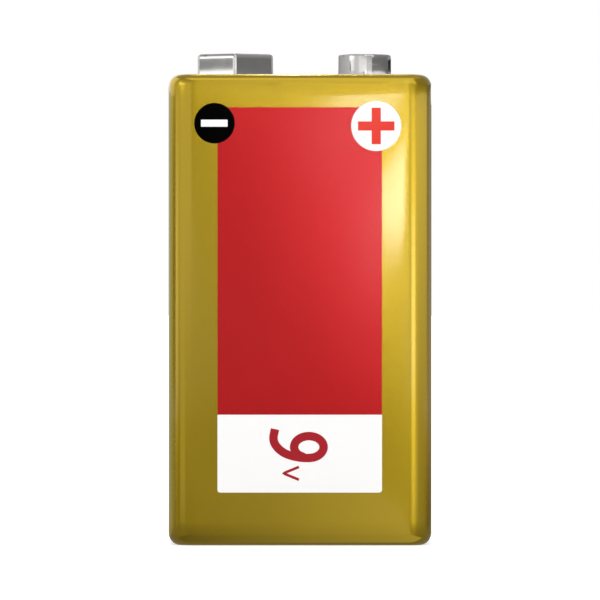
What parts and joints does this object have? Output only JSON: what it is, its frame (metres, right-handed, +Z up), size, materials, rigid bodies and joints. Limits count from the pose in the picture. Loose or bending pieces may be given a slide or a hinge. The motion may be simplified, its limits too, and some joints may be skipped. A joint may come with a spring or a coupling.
{
  "type": "nine volt battery",
  "caption": "Nine volt battery: slim cells in series in a gold printed metal jacket, with a snap stud and a six-sided snap socket on top.",
  "frame": {"origin": "centre of the base, on the plane that the battery stands on", "axes": "+Z up towards the terminals, +X along the wide side towards the positive stud, -Y towards the front with the print"},
  "size_m": [0.0258, 0.017, 0.0479],
  "materials": {
    "gold_sheet": "satin",
    "black_plate": "matt",
    "nickel_plate": "polished",
    "nickel_tab": "satin",
    "grey_card": "matt",
    "liner_film": "satin",
    "cell_steel": "satin",
    "sleeve_film": "gloss"
  },
  "bodies": {
    "root": {"jacket": "gold_sheet", "terminal_plate": "black_plate", "base_plate": "black_plate", "positive_stud": "nickel_plate", "negative_socket": "nickel_plate", "positive_rivet": "nickel_tab", "negative_rivet": "nickel_tab", "positive_lead": "nickel_tab", "negative_lead": "nickel_tab", "top_strap_back": "nickel_tab", "top_strap_front": "nickel_tab", "bottom_strap_left": "nickel_tab", "bottom_strap_centre": "nickel_tab", "bottom_strap_right": "nickel_tab", "top_insulator_card": "grey_card", "bottom_insulator_card": "grey_card", "jacket_liner": "liner_film", "cell_1": "cell_steel", "cell_sleeve_1": "sleeve_film", "cell_2": "cell_steel", "cell_sleeve_2": "sleeve_film", "cell_3": "cell_steel", "cell_sleeve_3": "sleeve_film", "cell_4": "cell_steel", "cell_sleeve_4": "sleeve_film", "cell_5": "cell_steel", "cell_sleeve_5": "sleeve_film", "cell_6": "cell_steel", "cell_sleeve_6": "sleeve_film"}
  },
  "joints": []
}
